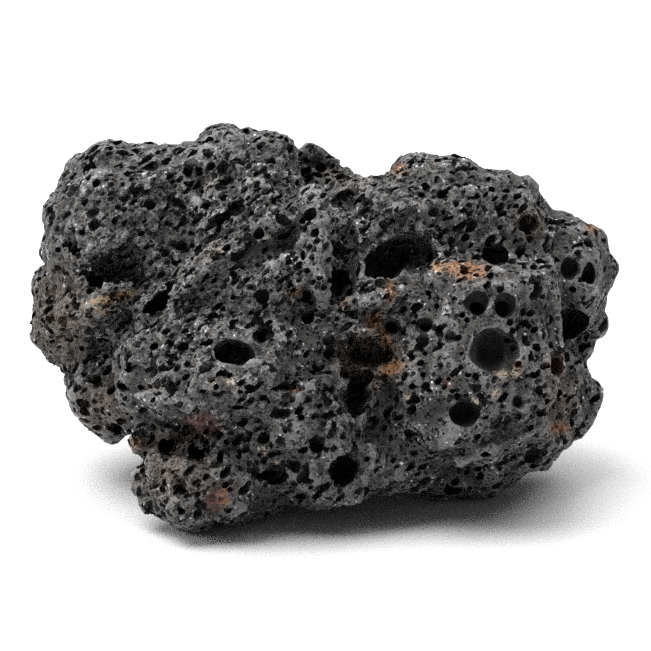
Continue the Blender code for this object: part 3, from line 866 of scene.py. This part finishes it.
def vesicles(place, spacing, smallest, largest):
    # small bubbles spread all through the stone: how far inside one the surface is, in mm
    nearest = place.node("TexVoronoi", {"feature": "F1"},
                         {"Vector": place, "Scale": 1 / spacing, "Randomness": 1.0})
    chance = nearest.node("SeparateColor", {}, {"Color": nearest.out("Color")})
    radius = smallest + chance * (largest - smallest)
    return radius - nearest.out("Distance") * spacing


scoria = {
    "dark": (0.033, 0.032, 0.031, 1),
    "light": (0.170, 0.165, 0.159, 1),
    # the colour of wear and of the painted highlight on edges and rims
    "worn": (0.33, 0.325, 0.32, 1),
    # the painted sheen on the smooth skin of the lumps
    "skin": (0.090, 0.094, 0.102, 1),
    # the near black of the painted shade in bubbles, hollows and valleys
    "inside": (0.003, 0.003, 0.003, 1),
    "rust": (0.34, 0.155, 0.062, 1),
    "ochre": (0.38, 0.22, 0.085, 1),
    "cream": (0.46, 0.37, 0.28, 1),
    "darkRed": (0.12, 0.036, 0.028, 1),
    "sheen": (0.200, 0.208, 0.228, 1),
    "pale": (0.46, 0.46, 0.47, 1),
    "brown": (0.150, 0.115, 0.090, 1),
    # the pale colour and painted glint of the bright crystals
    "glint": (0.55, 0.56, 0.60, 1),
    "roughness": 0.60,
    "glintRoughness": 0.25,
    "specular": 0.12,          # low, so that the insides of small bubbles stay dark
    # small bubbles on calm and on torn stone: how far apart, the smallest radius and the largest, in mm
    "deepBubbles": ((1.40, 0.16, 0.62), (1.15, 0.16, 0.52)),
    "fineBubbles": ((0.84, 0.12, 0.38), (0.72, 0.12, 0.34)),
    "tinyBubbles": (0.50, 0.08, 0.25),
    "drawnOut": 1.45,          # how much longer than wide those on torn stone are
    "flakes": 0.9,             # mm from one bright crystal to the next
}


def readSurface(shader):
    # the marks that are stored on the stone, and the patterns that run all through it
    on = SimpleNamespace()
    metres = shader.node("TexCoord", {}, {}, "Object")
    on.place = shader.node("VectorMath", {"operation": "SCALE"}, {0: metres, "Scale": 1 / mm})
    on.marks = {name: shader.node("Attribute", {"attribute_name": name}, {}, "Fac")
                for name in ("ridge", "form", "hollow", "torn", "glazed") + stainAndSheenKinds}
    stray = shader.node("TexNoise", {}, {"Vector": on.place, "Scale": 1 / 0.9, "Detail": 2.0}, "Color")
    on.strayed = shader.node("VectorMath", {"operation": "MULTIPLY_ADD"},
                             {0: stray, 1: (0.7, 0.7, 0.7), 2: on.place})
    flowTurn = tuple(Matrix(boardTurn(flow["rise"])).to_euler())
    on.drawn = stretchedPlace(on.strayed, flowTurn, (scoria["drawnOut"], 1.0, 1.0))
    on.patch = cloud(on.place, 7.0, 2.0, 0.5)
    on.crust = cloud(on.place, 1.5, 3.0, 0.6)
    # the far side's rounder lobes stay as rough as the near ones
    on.behind = rise(shader.node("SeparateXYZ", {}, {0: on.place}, "Y"), 0.0, 12.0)
    on.torn = rise(on.marks["torn"] + on.behind * rise(on.patch, 0.42, 0.60) * 0.6, 0.2, 0.7)
    on.bulge = on.marks["form"].math("MINIMUM", on.marks["form"], 1.1 - on.behind * 0.7)
    # smooth skin is left on some of the lumps, and on the walls of the large blisters; on the lumps it also
    # gets a painted sheen, lighter and bluish
    on.lumpSkin = rise(on.bulge * 0.35 + cloud(on.place, 2.6, 2.0, 0.5) + on.patch * 0.5, 1.08, 1.28)
    on.bare = (1 - on.marks["glazed"]) * (1 - on.lumpSkin * 0.8)
    on.grain = blend(on, cloud(on.place, 0.34, 3.0, 0.7), cloud(on.drawn, 0.42, 3.0, 0.7))
    lace = blend(on, cloud(on.place, 0.95, 3.0, 0.6), cloud(on.drawn, 0.85, 3.0, 0.6))
    lace = rise(lace.math("ABSOLUTE", lace - 0.5), 0.0, 0.045, 1.0, 0.0)
    on.lace = lace * on.bare * (on.torn * 0.7 + 0.3)
    ridge = on.marks["ridge"] * (1 - on.behind * 0.4)
    # lighter on sharp ridges and on the lumps: partly wear, partly painted highlight
    on.worn = rise(ridge + on.bulge * 0.25 + (on.grain - 0.5) * 0.4, 0.16, 0.50)
    # a painted sheen, lighter and bluish, on the crest, nose, crown and belly
    on.sheen = rise(on.marks["sheen"] + (on.crust - 0.5) * 0.8, 0.3, 0.8) * 0.4
    return on


def blend(on, calmOne, tornOne):
    return calmOne * (1 - on.torn) + tornOne * on.torn


def openBubbles(on):
    # the deep, fine and tiny small bubbles, 1 inside each, and the deep ones' bowls and rims, the rims for a
    # painted highlight
    def filled(bubblePair, low, high):
        calmOnes, tornOnes = bubblePair
        return blend(on, rise(calmOnes, low, high), rise(tornOnes, low, high)) * on.bare

    calmKind, tornKind = scoria["deepBubbles"]
    deepPair = vesicles(on.strayed, *calmKind), vesicles(on.drawn, *tornKind)
    calmKind, tornKind = scoria["fineBubbles"]
    finePair = vesicles(on.strayed, *calmKind), vesicles(on.drawn, *tornKind)
    on.deep = filled(deepPair, 0, 0.10)
    on.fine = filled(finePair, 0, 0.06)
    on.tiny = rise(vesicles(on.strayed, *scoria["tinyBubbles"]), 0, 0.05) * on.bare
    on.bowl = filled(deepPair, 0, 0.5)
    on.rim = filled(deepPair, -0.16, -0.03)


def bumpOf(on):
    relief = (on.grain * 0.20 + on.crust * 0.6) * (on.bare * 0.85 + 0.15) + on.lace * 0.24
    height = relief - on.deep * 0.30 - on.bowl * 0.55 - on.fine * 0.24 - on.tiny * 0.12
    return height.node("Bump", {}, {"Strength": 1.0, "Distance": mm, "Height": height}, "Normal")


def stoneColour(on):
    shade = rise(on.grain * 0.5 + on.crust * 0.6 + on.patch * 0.5, 0.60, 1.05)
    # darker where the stone is calm, and at the back: partly the stone's own tone, partly painted shade
    light = shade * (on.marks["torn"] * (0.70 - on.behind * 0.25) + 0.30)
    colour = tint(light, scoria["dark"], scoria["light"])
    colour = tint(on.lumpSkin * 0.5, colour, scoria["skin"])
    colour = tint(on.sheen, colour, scoria["sheen"])
    # lighter on worn edges, on the lace of thin walls and on the bubbles' rims: partly wear, partly painted
    # highlight
    edges = on.worn * (0.30 + on.torn * 0.08) + on.lace * 0.35
    edges = edges + (on.rim - on.deep) * rise(on.crust, 0.40, 0.56) * 0.35
    return tint(edges, colour, scoria["worn"])


def stained(on, colour):
    # a brown tint, lighter than the stone; on the left lobes it is partly painted light
    brown = rise(on.marks["brown"] + (on.crust - 0.5) * 0.7, 0.25, 0.7)
    colour = tint(brown * 0.6, colour, scoria["brown"])
    stainBreak = cloud(on.place, 0.7, 4.0, 0.75)
    for kind in ("darkRed", "rust", "ochre", "cream", "pale"):
        share = rise(on.marks[kind] + (stainBreak - 0.5) * 2.4, 0.34, 0.62)
        colour = tint(share * (on.grain * 1.4 - 0.1), colour, scoria[kind])
    return colour


def paintShadeInHollows(on, colour):
    # painted shade: darker in the small bubbles, deeper under the skin in blisters and bubbles, and in
    # valleys, but not on a large blister's smooth wall
    valleyShade = rise(on.marks["form"] + (on.crust - 0.5) * 0.6, -0.9, 0.1, 1.0, 0.0)
    hollowShade = rise(on.marks["hollow"], 0.3, 1.4, 1.0, 0.62)
    opened = (1 - on.deep * 0.92) * (1 - on.fine * 0.92) * (1 - on.tiny * 0.7) * (1 - valleyShade * 0.4)
    paintedShade = 1 - opened * (hollowShade * on.bare + (1 - on.bare))
    return tint(paintedShade, colour, scoria["inside"])


def glintsOf(on):
    # bright crystals, scattered over the ridges: partly their pale colour, partly a painted glint
    salt = cloud(on.place, 0.22, 2.0, 0.6)
    flake = on.place.node("TexVoronoi", {"feature": "F1"},
                          {"Vector": on.strayed, "Scale": 1 / scoria["flakes"], "Randomness": 1.0})
    chance = on.place.node("SeparateColor", {}, {"Color": flake.out("Color")})
    size = rise(flake.out("Distance") + (salt - 0.5) * 0.5, 0.15, 0.28, 1.0, 0.0)
    chosen = rise(chance + on.patch * 0.9, 1.20, 1.26)
    return size * chosen * rise(on.marks["ridge"] + on.patch * 0.2, 0.02, 0.2)


def makeScoria():
    material = bpy.data.materials.new("scoria")
    material.use_nodes = True
    material.node_tree.nodes.clear()
    shader = Wire(material.node_tree)
    on = readSurface(shader)
    openBubbles(on)
    glint = glintsOf(on)
    colour = tint(glint, paintShadeInHollows(on, stained(on, stoneColour(on))), scoria["glint"])
    roughness = scoria["roughness"] + (on.grain - 0.5) * 0.6 - on.worn * 0.15 - on.lumpSkin * 0.22
    roughness = roughness - on.sheen * 0.3 - glint * (scoria["roughness"] - scoria["glintRoughness"])
    surface = shader.node("BsdfPrincipled", {},
                          {"Base Color": colour, "Roughness": roughness, "Normal": bumpOf(on),
                           "Specular IOR Level": scoria["specular"]})
    surface.node("OutputMaterial", {}, {"Surface": surface})
    print("finish:", len(material.node_tree.nodes), "nodes")
    return material


def dress(obj, material):
    obj.data.materials.clear()
    obj.data.materials.append(material)
    obj.data.polygons.foreach_set("material_index", [0] * len(obj.data.polygons))


dress(stone, makeScoria())
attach(stone, "root")
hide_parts("lava_rock")

# ---- floor, light and camera

studio = {
    "floorSize": 6.0,
    "floorColour": (0.61, 0.61, 0.61, 1),
    "floorRoughness": 0.9,
    "worldStrength": 0.19,
    # from where, W/m2, degrees across
    "lamps": {"softbox": ((-0.38, 0.0, 0.92), 4.2, 48), "overhead": ((0.12, 0.28, 0.95), 3.8, 86),
              "sideLight": ((-0.92, -0.10, 0.38), 1.6, 30)},
}


def buildStudio():
    bpy.ops.mesh.primitive_plane_add(size=studio["floorSize"])
    floor = bpy.context.object
    floor.name = "studio_floor"
    paper = bpy.data.materials.new("white_paper")
    paper.use_nodes = True
    sheet = paper.node_tree.nodes["Principled BSDF"]
    sheet.inputs["Base Color"].default_value = studio["floorColour"]
    sheet.inputs["Roughness"].default_value = studio["floorRoughness"]
    floor.data.materials.append(paper)
    world = bpy.data.worlds.new("studio")
    world.use_nodes = True
    background = world.node_tree.nodes["Background"]
    background.inputs["Strength"].default_value = studio["worldStrength"]
    background.inputs["Color"].default_value = (1, 1, 1, 1)
    bpy.context.scene.world = world
    for name, (source, strength, softness) in studio["lamps"].items():
        lamp = bpy.data.lights.new(name, "SUN")
        lamp.energy = strength
        lamp.angle = math.radians(softness)
        holder = bpy.data.objects.new(name, lamp)
        bpy.context.scene.collection.objects.link(holder)
        holder.rotation_euler = (-Vector(source)).to_track_quat("-Z", "Y").to_euler()
    bpy.context.scene.view_settings.view_transform = "Standard"
    bpy.context.scene.cycles.use_denoising = False      # it would wipe out the grain of so dark a stone


def placeCamera():
    camera = bpy.data.cameras.new("camera")
    camera.sensor_width = 36
    camera.lens = camera.sensor_width * board["sight"] / board["frameWidth"]
    camera.clip_start = 0.01
    holder = bpy.data.objects.new("camera", camera)
    bpy.context.scene.collection.objects.link(holder)
    holder.location = eye * mm
    holder.rotation_euler = (-boardOut).to_track_quat("-Z", "Y").to_euler()
    bpy.context.scene.camera = holder


buildStudio()
placeCamera()
